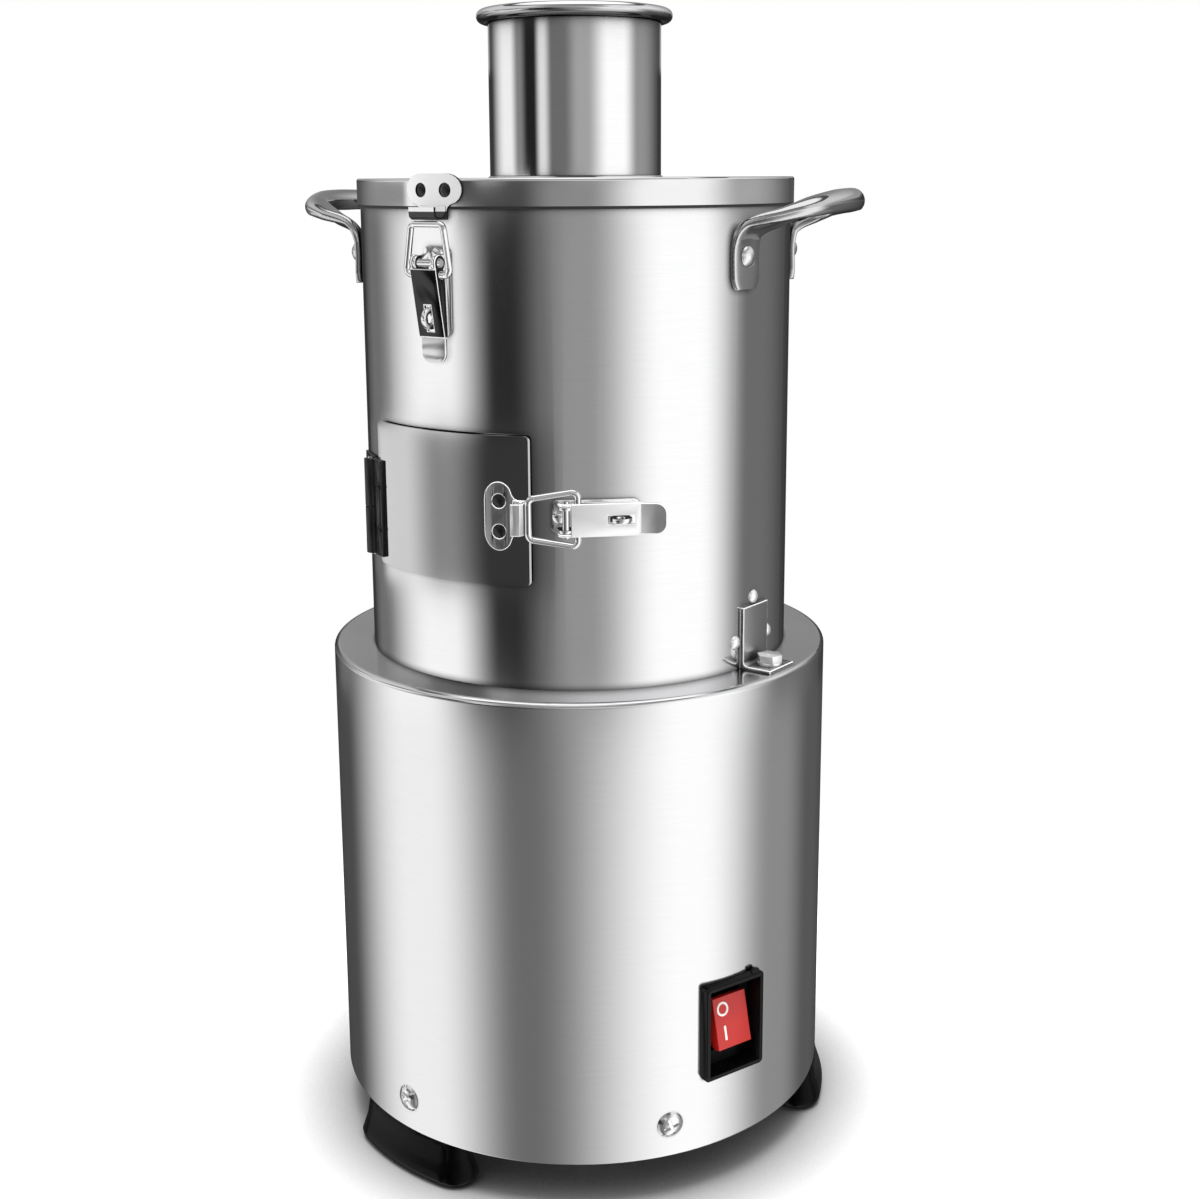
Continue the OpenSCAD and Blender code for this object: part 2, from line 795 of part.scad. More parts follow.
module bracket_welds() {
    spot_r = 3.2;
    spot_h = 1.8;
    weld_z = ledge_z + bracket_h * 0.45;
    beside = asin((bracket_w / 2 + spot_r) / drum_r);
    color(bright) round_each(2, bracket_at) {
        for (s = [-1, 1]) rotate([0, 0, s * beside]) translate([drum_r, 0, weld_z]) turned(concat([[0, 0]], dome_points(spot_r, spot_h)));
        translate([drum_r, 0, ledge_z + bracket_h + spot_r]) turned(concat([[0, 0]], dome_points(spot_r, spot_h)));
    }
}

module bracket_bolts() {
    washer_r = 5.4;
    washer_h = 1.2;
    head_h = 3.4;
    below = bracket_t + ledge_t + bolt_nut_h + 4;
    color(bright) round_each(2, bracket_at) translate([bolt_at, 0, ledge_z + bracket_t]) {
        cylinder(r = washer_r, h = washer_h);
        translate([0, 0, washer_h]) rotate([0, 0, 15]) hexagon(hex_across, head_h);
        translate([0, 0, -below]) cylinder(r = bolt_r, h = below + washer_h);
    }
}

module bracket_nuts() {
    color(bright) round_each(2, bracket_at) translate([bolt_at, 0, ledge_z - ledge_t - bolt_nut_h]) difference() {
        hexagon(hex_across, bolt_nut_h);
        translate([0, 0, -past]) cylinder(r = bolt_r + fit_gap, h = bolt_nut_h + 2 * past);
    }
}

// Handle: a strap that lies flat on the drum at both ends, bends outwards and
// rounds into a hollow-backed grip. Each key is the place along the strap, its
// width, its thickness, how round it is, how deep its hollow is, and how far its
// outer face has turned from outwards to downwards.
handle_tip = drum_r + handle_reach;
strap_t = 3;
strap_lift = 0.2;
strap_mid = drum_r + strap_t / 2 + strap_lift;
strap_z = handle_rivet_z;
handle_keys = [
    [[strap_mid * cos(handle_half), strap_mid * sin(handle_half), strap_z - 14], 12, strap_t, 0.35, 0, 0],
    [[strap_mid * cos(handle_half), strap_mid * sin(handle_half), strap_z - 9], 17, strap_t, 0.35, 0, 0],
    [[strap_mid * cos(handle_half), strap_mid * sin(handle_half), strap_z + 4], 17, strap_t, 0.35, 0, 0],
    [[strap_mid * cos(handle_half) + 3.2, strap_mid * sin(handle_half) + 0.4, strap_z + 11.6], 16, 4.4, 0.5, 0.6, 0.35],
    [[drum_r + 8, strap_mid * sin(handle_half) - 0.4, strap_z + 16.4], 14, 7, 0.75, 1.8, 0.8],
    [[drum_r + handle_reach * 0.56, strap_mid * sin(handle_half) - 6, strap_z + 20], 11.8, 9.4, 0.95, 2.4, 1],
    [[handle_tip - 7.6, strap_mid * sin(handle_half) * 0.48, strap_z + 22], 11, 11, 1, 2, 1],
    [[handle_tip - 5, 0, strap_z + 22.4], 11, 11.4, 1, 1.8, 1]];
key_steps = 7;
ring_points = 24;

// Point between four neighbours on a smooth curve
function smooth(a, b, c, d, t) =
    0.5 * (2 * b + (c - a) * t + (2 * a - 5 * b + 4 * c - d) * t * t + (3 * b - a - 3 * c + d) * t * t * t);

function key_at(f, i) =
    let (n = len(handle_keys), k = min(floor(f), n - 2), t = f - k,
        a = handle_keys[max(k - 1, 0)][i], b = handle_keys[k][i], c = handle_keys[k + 1][i],
        past = handle_keys[min(k + 2, n - 1)][i],
        d = k + 2 < n ? past : i == 0 ? [handle_keys[n - 2][0][0], -handle_keys[n - 2][0][1], handle_keys[n - 2][0][2]] : handle_keys[n - 2][i])
    i == 0 ? smooth(a, b, c, d, t) : b + (c - b) * t;

function unit(v) = v / norm(v);

// One ring of the strap at place f, in the half with positive y
function strap_ring(f) =
    let (step = 0.02, last = len(handle_keys) - 1,
        p = key_at(f, 0),
        ahead = f + step <= last ? key_at(f + step, 0) : [key_at(last - step, 0)[0], -key_at(last - step, 0)[1], key_at(last - step, 0)[2]],
        tangent = unit(ahead - key_at(max(f - step, 0), 0)),
        turned = 90 * key_at(f, 5),
        face = cos(turned) * [cos(handle_half), sin(handle_half), 0] + sin(turned) * [0, 0, -1],
        out = unit(face - (face * tangent) * tangent),
        side = cross(tangent, out),
        w = key_at(f, 1) / 2, h = key_at(f, 2) / 2, e = key_at(f, 3), hollow = key_at(f, 4))
    [for (j = [0:ring_points - 1])
        let (a = 360 * j / ring_points, u = sign(cos(a)) * pow(abs(cos(a)), e), v = sign(sin(a)) * pow(abs(sin(a)), e),
            dent = v > 0 && abs(u) < 0.6 ? hollow * (1 - pow(u / 0.6, 2)) : 0)
        p + side * u * w + out * (v * h - dent)];

function flip_y(ring) = [for (q = ring) [q[0], -q[1], q[2]]];

module handle() {
    last = (len(handle_keys) - 1) * key_steps;
    half = [for (i = [0:last]) strap_ring(i / key_steps)];
    rings = concat(half, [for (i = [last - 1:-1:0]) flip_y(half[i])]);
    n = len(rings);
    polyhedron(
        points = [for (r = rings, q = r) q],
        faces = concat(
            [[for (j = [0:ring_points - 1]) j]],
            [[for (j = [ring_points - 1:-1:0]) (n - 1) * ring_points + j]],
            [for (i = [0:n - 2], j = [0:ring_points - 1])
                let (k = (j + 1) % ring_points, a = i * ring_points, b = a + ring_points) [a + j, b + j, b + k]],
            [for (i = [0:n - 2], j = [0:ring_points - 1])
                let (k = (j + 1) % ring_points, a = i * ring_points, b = a + ring_points) [a + j, b + k, a + k]]));
}

module riveted_handle(a) {
    color(bright) rotate([0, 0, a]) difference() {
        handle();
        cylinder(r = drum_r, h = 2 * drum_top);
        for (s = [-1, 1]) rotate([0, 0, s * handle_half]) translate([0, 0, handle_rivet_z])
            along_x(handle_rivet_r, drum_in, drum_r + strap_t + past);
    }
}

module handle_right() { riveted_handle(0); }
module handle_left() { riveted_handle(handle_left_at); }

module handle_rivets() {
    color(bright) each_handle_rivet() rivet(drum_in, drum_r + strap_t + strap_lift + fit_gap, handle_rivet_r, handle_head_r, handle_head_h);
}

// Lid

module lid() {
    color(steel) difference() {
        rotate_extrude() polygon(concat(
            [[lid_r, skirt_z]],
            arc_points(lid_r - lid_edge_r, lid_top - lid_edge_r, lid_edge_r, 0, 90),
            [[tube_r + fit_gap, lid_top], [tube_r + fit_gap, lid_under]],
            arc_points(lid_r - lid_edge_r, lid_top - lid_edge_r, lid_edge_r - sheet_t, 90, 0),
            [[lid_in, skirt_z]]));
        for (i = [0, 1]) lid_keeper_frame(i) each_keeper_rivet() along_x(rivet_r, lid_in - past, lid_r + past);
    }
}

module lid_gasket() {
    color(rubber) {
        translate([0, 0, lid_under - gasket_t]) difference() {
            cylinder(r = drum_r - edge_r / 2, h = gasket_t);
            translate([0, 0, -past]) cylinder(r = drum_r - gasket_w, h = gasket_t + 2 * past);
        }
        translate([0, 0, skirt_z - skirt_strip / 2]) ring(drum_r + run_gap, lid_r - leaf_step / 2, skirt_strip);
    }
}

module feed_tube() {
    rim_mid = tube_r + rim_d / 2 - 0.8;
    rim_z = lid_top + tube_h;
    bead = 0.8;
    spout = lid_under - tube_below;
    color(bright) {
        rotate_extrude() polygon([
            [tube_r - tube_t, spout], [tube_r, spout], [tube_r, lid_top], [tube_r + bead, lid_top],
            [tube_r + bead * 0.7, lid_top + bead * 0.7], [tube_r, lid_top + bead], [tube_r, rim_z], [tube_r - tube_t, rim_z]]);
        translate([0, 0, rim_z]) rotate_extrude() translate([rim_mid, 0]) circle(d = rim_d);
    }
}

// Keepers: the frame's origin is on the drum's axis, level with the hook

module lid_keeper_frame(i) {
    rotate([0, 0, lid_latch_angles[i]]) translate([0, 0, latch_z + hook_z]) children();
}

module door_keeper_frame() {
    rotate([0, 0, hook_at]) translate([0, 0, door_latch_z]) rotate([90, 0, 0]) children();
}

module each_keeper_rivet() {
    for (s = [-1, 1]) translate([0, s * keeper_pitch / 2, keeper_rivet_z]) children();
}

// The same places on the door, where the wall curves away along the keeper
module each_door_keeper_rivet() {
    for (s = [-1, 1]) rotate([0, 0, hook_at - keeper_rivet_z / door_r * 180 / PI])
        translate([0, 0, door_latch_z + s * keeper_pitch / 2]) children();
}

function hook_profile(t) = [
    [0, 5.5], [0, 3.4], [1, 1.2], [3, 0], [hook_reach - 1.9, 0], [hook_reach - 0.3, 1.2], [hook_reach, 3], [hook_reach, hook_lip],
    [hook_reach - t, hook_lip], [hook_reach - t, 3.2], [hook_reach - t - 0.5, 1.2 + t / 3], [hook_reach - t - 1.3, t],
    [3.4, t], [1 + t * 0.75, 1 + t], [t, 2.6 + t], [t, 5.5]];

module keeper(r, across = false) {
    intersection() {
        ring(r, r + metal_t, 100, across);
        outwards(r - 8, r + 4) polygon(mirrored(keeper_half));
    }
    sideways(hook_w) translate([r, 0]) polygon(hook_profile(metal_t));
}

module lid_keepers() {
    color(bright) for (i = [0, 1]) lid_keeper_frame(i) difference() {
        keeper(lid_r);
        each_keeper_rivet() along_x(keeper_hole_r, lid_in, lid_r + past);
    }
}

module lid_rivets() {
    color(dark) for (i = [0, 1]) lid_keeper_frame(i) each_keeper_rivet()
        rivet(lid_in, lid_r, rivet_r, rivet_head, rivet_dome, true);
}

module door_keeper() {
    color(bright) difference() {
        door_keeper_frame() keeper(door_r, true);
        each_door_keeper_rivet() along_x(keeper_hole_r, door_in, door_r + past);
    }
}

module door_rivets() {
    color(dark) each_door_keeper_rivet() rivet(door_in, door_r, rivet_r, rivet_head, rivet_dome, true);
}

// Latches

module latch_plate(across = false) {
    eye_x = 6;
    eye_z = (slot_from + slot_to) / 2;
    eye_out = 4.6;
    difference() {
        union() {
            intersection() {
                translate([-drum_r, 0, 0]) ring(drum_r - 4, drum_r + plate_t, 100, across);
                outwards(-12, 6) translate([0, -12]) polygon(rounded(14.6, 37, 3));
            }
            for (s = [-1, 1]) translate([0, s * ear_y, 0]) sideways(metal_t) {
                translate([pivot_x, 0]) circle(r = 3);
                polygon([[-3, -4.5], [-3, 4.5], [pivot_x - 1, 2.8], [pivot_x - 1, -2.8]]);
            }
            sideways(1.8) difference() {
                union() {
                    translate([eye_x, eye_z]) circle(r = eye_out);
                    translate([-6, eye_z - 3.4]) square([eye_x + 6, 6.8]);
                }
                translate([eye_x + 0.4, eye_z]) circle(r = 2.2);
            }
        }
        translate([-drum_r, 0, 0]) rotate([across ? 90 : 0, 0, 0]) cylinder(r = drum_r, h = 200, center = true);
        translate([pivot_x, 0, 0]) along_y(pin_r + fit_gap, 2 * lever_w);
    }
}

module latch_plates() {
    color(steel) difference() {
        union() {
            for (i = [0, 1]) lid_latch_frame(i) latch_plate();
            door_latch_frame() latch_plate(true);
        }
        each_latch_rivet() along_x(rivet_r, drum_in, drum_r + past);
    }
}

module latch_rivets() {
    color(dark) each_latch_rivet() rivet(drum_in, drum_r + plate_t, rivet_r, rivet_head, rivet_dome);
}

module latch_pin() {
    translate([pivot_x, 0, 0]) along_y(pin_r, lever_w + 1.6);
}

module latch_pins() {
    color(bright) {
        for (i = [0, 1]) lid_latch_frame(i) latch_pin();
        door_latch_frame() latch_pin();
    }
}

module lever() {
    front_top = pivot_x + 3.2;
    front_low = pivot_x - 2;
    tongue_x = front_low - 2;
    tongue_w = lever_w - 0.8;
    tongue_r = 4.5;
    difference() {
        union() {
            for (s = [-1, 1]) translate([0, s * (lever_w - metal_t) / 2, 0]) sideways(metal_t) {
                translate([pivot_x, 0]) circle(r = eye_r);
                polygon([[front_top, -1], [front_low, lever_end], [front_low - 2.4, lever_end], [pivot_x - 3.4, -8], [pivot_x - 2, -1]]);
            }
            sideways(lever_w) polygon([[front_top - 0.15, -2.4], [front_low, lever_end], [front_low - metal_t, lever_end], [front_top - metal_t - 0.15, -2.4]]);
            outwards(tongue_x, tongue_x + metal_t) polygon(concat(
                [[-tongue_w / 2, lever_end + 1.5]],
                arc_points(tongue_r - tongue_w / 2, tongue_end + tongue_r, tongue_r, 180, 270, 6),
                arc_points(tongue_w / 2 - tongue_r, tongue_end + tongue_r, tongue_r, 270, 360, 6),
                [[tongue_w / 2, lever_end + 1.5]]));
        }
        translate([pivot_x, 0, 0]) along_y(pin_r + pin_gap, 2 * lever_w);
        translate([bail_x, 0, -bail_drop]) along_y(wire_r + pin_gap, 2 * lever_w);
        translate([-5, -1.8, slot_from]) cube([20, 3.6, slot_to - slot_from]);
    }
}

// Bail: a wire bent in one plane, with its ends turned into the lever's cheeks
module bail() {
    bend = 2.5;
    flare = 9;
    bar_half = 6.4;
    arm = (bar_z + bail_drop - 2 * bend) / cos(flare);
    end_y = bar_half + arm * sin(flare);
    for (s = [0, 1]) mirror([0, s, 0]) translate([bail_x, 0, bar_z]) rotate([-90, 0, 0])
        wire([[bar_half, bend, 90 - flare], [arm, bend, 90 + flare], [end_y - lever_w / 2 + metal_t, bend, 0]], wire_r);
}

module lid_lever_front() { color(bright) lid_latch_frame(0) lever(); }
module lid_lever_rear() { color(bright) lid_latch_frame(1) lever(); }
module lid_bail_front() { color(bright) lid_latch_frame(0) bail(); }
module lid_bail_rear() { color(bright) lid_latch_frame(1) bail(); }
module door_lever() { color(bright) door_latch_frame() lever(); }
module door_bail() { color(bright) door_latch_frame() bail(); }

// Door

module door_outline(margin) {
    width = 2 * drum_r * sin(door_arc / 2) - 2 * margin;
    rotate([0, 0, (door_from + door_to) / 2]) translate([0, 0, door_mid])
        outwards(drum_r / 2, door_r + 10) polygon(rounded(width, door_h - 2 * margin, 2));
}

module door_panel() {
    color(dark) difference() {
        intersection() {
            translate([0, 0, door_mid]) ring(door_in, door_r, door_h + 2);
            door_outline(0);
        }
        each_door_keeper_rivet() along_x(rivet_r, door_in - past, door_r + past);
        each_door_hinge_screw() along_x(hinge_screw_r + fit_gap, door_in - past, door_r + past);
    }
}

module door_gasket() {
    color(rubber) difference() {
        intersection() {
            translate([0, 0, door_mid]) ring(drum_r + run_gap, door_in - fit_gap, door_h);
            door_outline(2);
        }
        door_outline(7);
    }
}

// Hinge: the lower knuckle is on the drum and holds the pin, the upper knuckle is
// on the door

module knuckle(low, high) {
    rotate([0, 0, hinge_at]) translate([hinge_r, 0, low]) cylinder(r = knuckle_r, h = high - low);
}

module hinge_bore(r) {
    rotate([0, 0, hinge_at]) translate([hinge_r, 0, 0]) cylinder(r = r, h = 2 * drum_top);
}

module door_hinge_leaf() {
    split = hinge_mid + run_gap / 2;
    color(black) difference() {
        union() {
            difference() {
                wall_strip(door_r, door_r + leaf_t, hinge_at + leaf_sunk, door_from + leaf_lap, hinge_low, hinge_top);
                wall_strip(drum_r, drum_r + 2 * knuckle_r, hinge_at - leaf_clear, hinge_at + leaf_clear, hinge_low - 1, split + leaf_step);
            }
            knuckle(split, hinge_top - leaf_step);
        }
        hinge_bore(pin_r + pin_gap);
        each_door_hinge_screw() along_x(hinge_screw_r + fit_gap, door_in, door_r + past);
    }
}

module drum_hinge_leaf() {
    split = hinge_mid - run_gap / 2;
    color(black) difference() {
        union() {
            difference() {
                wall_strip(drum_r, drum_r + leaf_t, leaf_from, hinge_at - leaf_sunk, hinge_low, hinge_top);
                wall_strip(drum_r - 1, drum_r + 2 * knuckle_r, hinge_at - leaf_clear, hinge_at + leaf_clear, split - leaf_step, hinge_top + 1);
            }
            knuckle(hinge_low + leaf_step, split);
        }
        hinge_bore(pin_r + fit_gap);
        each_drum_hinge_screw() along_x(hinge_screw_r + fit_gap, drum_in, drum_r + past);
    }
}

module hinge_pin() {
    color(bright) rotate([0, 0, hinge_at]) translate([hinge_r, 0, hinge_low - 0.5])
        cylinder(r = pin_r, h = hinge_h + 1);
}

module drum_hinge_screws() {
    color(bright) each_drum_hinge_screw() pan_screw(drum_r + leaf_t, hinge_screw_r, hinge_head_r, hinge_head_h, leaf_t + sheet_t + 2);
}

module door_hinge_screws() {
    color(bright) each_door_hinge_screw() pan_screw(door_r + leaf_t, hinge_screw_r, hinge_head_r, hinge_head_h, leaf_t + door_t);
}

base_shell();
bottom_plate();
foot_front();
foot_right();
foot_rear();
base_screws();
foot_screws();
switch_bezel();
switch_body();
rocker();
rocker_marks();
cable_gland();
gland_nut();
motor_housing();
motor_top_bell();
motor_bottom_bell();
motor_bolts();
bearings();
capacitor();
capacitor_clip();
leads();
rotor();
drum_shell();
drum_floor();
shaft_seal();
wall_strips();
peeling_disc();
disc_pads();
disc_nut();
bracket_right();
bracket_left();
bracket_welds();
bracket_bolts();
bracket_nuts();
handle_right();
handle_left();
handle_rivets();
lid();
lid_gasket();
feed_tube();
lid_keepers();
lid_rivets();
latch_plates();
latch_pins();
latch_rivets();
lid_lever_front();
lid_lever_rear();
lid_bail_front();
lid_bail_rear();
door_panel();
door_gasket();
door_keeper();
door_rivets();
door_lever();
door_bail();
door_hinge_leaf();
drum_hinge_leaf();
hinge_pin();
drum_hinge_screws();
door_hinge_screws();
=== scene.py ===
# %% [markdown]
# # A garlic peeling machine in a light tent
# The machine is a drum of polished steel on a motor base. All its shapes are in
# the CAD model already, so Blender's share is finish and light. Each CAD piece gets
# the finish of the real one, and then come the tent, the floor and the camera.

# %% Load the CAD frame
import math

import bpy
from mathutils import Euler, Matrix, Vector

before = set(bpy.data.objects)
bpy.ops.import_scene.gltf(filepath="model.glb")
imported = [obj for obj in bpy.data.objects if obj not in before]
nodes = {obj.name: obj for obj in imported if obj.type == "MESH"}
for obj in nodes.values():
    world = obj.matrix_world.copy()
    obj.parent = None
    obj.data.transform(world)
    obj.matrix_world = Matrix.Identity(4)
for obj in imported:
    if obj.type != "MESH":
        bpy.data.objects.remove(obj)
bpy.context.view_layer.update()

# %% [markdown]
# ## Colours and sizes
# A colour picker shows sRGB values, but Blender mixes light in linear values, so
# every colour goes through one function. A pattern's size could be typed as the
# bare scale that a texture wants; millimetres are easier to check on a real sheet.

# %% Colours and sizes
def linear(hex_colour):
    """The linear colour behind an sRGB hex value."""
    parts = [int(hex_colour[i:i + 2], 16) / 255 for i in (1, 3, 5)]
    return [c / 12.92 if c <= 0.04045 else ((c + 0.055) / 1.055) ** 2.4 for c in parts] + [1.0]


def per_metre(size_mm):
    """How often a pattern of this size repeats in a metre."""
    return 1000 / size_mm


print("sRGB #808080 is", round(linear("#808080")[0], 3), "in linear light")

# %% [markdown]
# ## Adding nodes
# A material is a small network of nodes. One function adds any of them: it sets the
# node's own settings, then fills each input with a value or with a link. A colour
# ramp also takes its stops here, as greys or as hex colours.

# %% Add a node, start a material
def add(tree, kind, inputs=None, stops=(), **settings):
    """Adds a node; an input is a plain value or another node's output."""
    made = tree.nodes.new(kind)
    for name, value in settings.items():
        setattr(made, name, value)
    for name, value in (inputs or {}).items():
        if isinstance(value, bpy.types.NodeSocket):
            tree.links.new(value, made.inputs[name])
        else:
            made.inputs[name].default_value = value
    if stops:
        points = made.color_ramp.elements
        while len(points) < len(stops):
            points.new(0.5)
        for point, (place, tone) in zip(points, stops):
            point.position = place
            point.color = linear(tone) if isinstance(tone, str) else [tone, tone, tone, 1.0]
    return made


def new_material(name, **values):
    """A Principled material with its own values; returns it with its node tree and shader."""
    material = bpy.data.materials.new(name)
    material.use_nodes = True
    tree = material.node_tree
    shader = tree.nodes["Principled BSDF"]
    for key, value in values.items():
        shader.inputs[key.replace("_", " ")].default_value = value
    return material, tree, shader


print("helpers ready,", len(bpy.data.materials), "materials so far")

# %% [markdown]
# ## Bare metal
# Rolled sheet is almost a mirror. What gives it away is the rolling grain, fine lines
# round the drum that blur a reflection, and a slow waviness of a few centimetres
# that bends it. Both could be modelled, but they are far too small, so they go into
# the roughness and the bump. Where two pieces meet, the joint takes light away; that
# shade is painted into the colour, falling off close to the joint. Some pressed pieces
# carry painted shade and painted dark reflections on one part only; that part is told
# by its place along one axis, so its edge stays sharp.

# %% Bare metal
ROLLED = (0.03, 0.03, 1)  # grain drawn out round the machine
EVEN = (1, 1, 1)
SMEAR_MM, SMEAR_STRETCH = 45, (1, 1, 0.6)  # where a cloth wiped the sheet
WAVE_MM = 70  # how far apart the rollers leave a wave
GRAIN_DIP = 0.94  # tone at the bottom of a grain line
# Painted shade by ambient occlusion: the grey for each openness, multiplied into the colour; RIM_SHADE is the
# deeper one under the tube's roll
JOINT_SHADE = [(0.3, 0.05), (0.6, 0.4), (0.92, 1.0)]
RIM_SHADE = [(0.5, 0.02), (0.74, 0.25), (0.88, 1.0)]


def steel(name, colour, rough, rough_spread, grain_mm, grain_depth, wave_depth=0.0, stretch=EVEN,
          painted_shade_mm=0.0, shade=JOINT_SHADE, alone=False, painted_tones=(), axis="Z", metal=1.0):
    """Depths are in millimetres. Painted tones are greys of painted shade and painted dark reflections at
    places along an axis of the part, in metres.
    """
    material, tree, shader = new_material(name, Metallic=metal)
    place = add(tree, "ShaderNodeTexCoord").outputs["Object"]
    drawn = add(tree, "ShaderNodeMapping", {"Vector": place, "Scale": stretch}).outputs["Vector"]
    grain = add(tree, "ShaderNodeTexNoise", {
        "Vector": drawn, "Scale": per_metre(grain_mm), "Detail": 3.0}).outputs["Fac"]
    wiped = add(tree, "ShaderNodeMapping", {"Vector": place, "Scale": SMEAR_STRETCH}).outputs["Vector"]
    smears = add(tree, "ShaderNodeTexNoise", {
        "Vector": wiped, "Scale": per_metre(SMEAR_MM), "Detail": 3.0}).outputs["Fac"]
    blur = add(tree, "ShaderNodeValToRGB", {"Fac": smears}, [(0.3, rough), (0.75, rough + rough_spread)])
    tree.links.new(blur.outputs["Color"], shader.inputs["Roughness"])
    light = linear(colour)
    dip = [c * GRAIN_DIP for c in light[:3]] + [1.0]
    grained = add(tree, "ShaderNodeMix", {"Factor": grain, "A": dip, "B": light}, data_type="RGBA")
    shades = [grained.outputs["Result"]]
    # Painted shade: ambient occlusion darkens the colour close to a joint
    if painted_shade_mm:
        sky = add(tree, "ShaderNodeAmbientOcclusion", {"Distance": painted_shade_mm / 1000},
                  samples=6, only_local=alone)
        shades.append(add(tree, "ShaderNodeValToRGB", {"Fac": sky.outputs["AO"]}, shade).outputs["Color"])
    # Painted tones: painted shade and painted dark reflections, set by the place along one axis
    if painted_tones:
        low, high = painted_tones[0][0], painted_tones[-1][0]
        along = add(tree, "ShaderNodeSeparateXYZ", {"Vector": place}).outputs[axis]
        share = add(tree, "ShaderNodeMapRange", {"Value": along, "From Min": low, "From Max": high})
        stops = [((at - low) / (high - low), grey) for at, grey in painted_tones]
        shades.append(add(tree, "ShaderNodeValToRGB", {"Fac": share.outputs["Result"]}, stops).outputs["Color"])
    tone = shades[0]
    for darker in shades[1:]:
        tone = add(tree, "ShaderNodeMix", {"Factor": 1.0, "A": tone, "B": darker},
                   data_type="RGBA", blend_type="MULTIPLY").outputs["Result"]
    tree.links.new(tone, shader.inputs["Base Color"])
    bump = add(tree, "ShaderNodeBump", {"Height": grain, "Strength": 1.0, "Distance": grain_depth / 1000})
    if wave_depth:
        wave = add(tree, "ShaderNodeTexNoise", {
            "Vector": place, "Scale": per_metre(WAVE_MM), "Detail": 1.0}).outputs["Fac"]
        bump = add(tree, "ShaderNodeBump", {
            "Height": wave, "Strength": 1.0, "Distance": wave_depth / 1000, "Normal": bump.outputs["Normal"]})
    tree.links.new(bump.outputs["Normal"], shader.inputs["Normal"])
    return material


print("grain lines are drawn out", round(1 / ROLLED[0]), "times round the machine")

# %% [markdown]
# ## Sheet
# The housing, the drum, the lid and the door are cut from stainless sheet, and each
# was worked in its own way, so each mirrors the tent with its own sharpness. One
# finish for all could be simpler, but then the door would vanish into the drum.
# The real grain, about 0.1 mm, is too fine to show, so it is drawn at 0.4 to 0.5 mm.

# %% Sheet
# Bright rolled sheet, not buffed: wide soft bands of light, and painted shade in a thin ring round what stands
# on it
base_steel = steel("stainless sheet, bright rolled", "#dededf", 0.13, 0.04, 0.5, 0.0006, 0.02, ROLLED,
                   painted_shade_mm=1.6)
# The same sheet, rolled tighter and welded: crisper bands; painted shade draws a dark line where lid and ledge
# meet it
drum_steel = steel("stainless sheet, bright rolled and welded", "#dededf", 0.09, 0.03, 0.5, 0.0006, 0.02,
                   ROLLED, painted_shade_mm=3.5)
# Drawn tube with a rolled rim: near a mirror; painted shade turns the underside of the roll black and darkens
# the tube below it
tube_steel = steel("stainless tube, bright drawn", "#dededf", 0.04, 0.02, 0.5, 0.0006, stretch=ROLLED,
                   painted_shade_mm=20, shade=RIM_SHADE, alone=True,
                   painted_tones=[(0.5157, 1.0), (0.5161, 0.15), (0.5171, 0.15), (0.5195, 1.0)])
# Spun on a lathe: a sharp mirror with a hint of rings, and painted shade close to its joints
lid_steel = steel("stainless sheet, spun", "#dadada", 0.05, 0.03, 0.4, 0.0008, stretch=ROLLED, painted_shade_mm=2)
# Polished after cutting: darker and clearer than the drum behind it
door_steel = steel("stainless sheet, polished", "#c8c8c8", 0.06, 0.03, 0.4, 0.0008, stretch=ROLLED)
# Satin sheet inside the machine: a dull, even sheen
satin_steel = steel("stainless sheet, satin", "#c8c8c8", 0.2, 0.06, 0.4, 0.001, stretch=ROLLED)
# Tumbled with stones: soft grey without any mirror image; painted shade darkens it close to the drum and the
# ledge
bracket_steel = steel("stainless sheet, tumbled", "#c4c4c4", 0.3, 0.06, 0.6, 0.001, painted_shade_mm=5)
print(len(bpy.data.materials), "materials with the sheet")

# %% [markdown]
# ## Fittings
# Latches, rivets, screws and handles are small pressed, drawn or cast pieces, most
# of them plated. Plating is finer than rolled sheet and has no direction, so its
# grain is even. White zinc and white nickel are cloudy: they scatter part of the
# light, which a metal alone can't, so their metallic value is below one.

# %% Fittings
# Bright nickel: small hard sparkles
bright_steel = steel("pressed steel, bright nickel", "#e6e6e6", 0.10, 0.06, 0.6, 0.0008)
# The levers' web carries a painted dark reflection, near black, and their tongue is painted a little darker
# than the white
lever_steel = steel("pressed steel, bright nickel, smoked web", "#e6e6e6", 0.14, 0.06, 0.6, 0.0008,
                    painted_tones=[(0.3827, 0.78), (0.383, 0.05)])
# The lid's keepers are white; their hook carries a painted dark reflection, black, and painted shade lies close
# to their joints
hook_steel = steel("pressed steel, white nickel, smoked hook", "#f4f4f4", 0.3, 0.06, 0.6, 0.0008, painted_shade_mm=1.5,
                   painted_tones=[(0.4346, 0.05), (0.4349, 1.0)], metal=0.5)
# The door's lever is white up to its tongue, where painted shade turns it grey and darker along it
tongue_steel = steel("pressed steel, white nickel", "#f0f0f0", 0.3, 0.06, 0.6, 0.0008,
                     painted_tones=[(0.0594, 1.0), (0.0598, 0.5), (0.0702, 0.2)], axis="X", metal=0.6)
# The door's keeper: painted shade darkens its plate, lighter toward its edge and its pale neck; a painted
# highlight lines its cut edge, and painted shade lies close to its joints
keeper_steel = steel("pressed steel, satin nickel, painted shade on the plate", "#e4e4e4", 0.4, 0.06, 0.6, 0.0008, painted_shade_mm=3,
                     painted_tones=[(-0.0055, 0.5), (0.005, 0.25), (0.007, 0.5), (0.0085, 1.0)], axis="X")
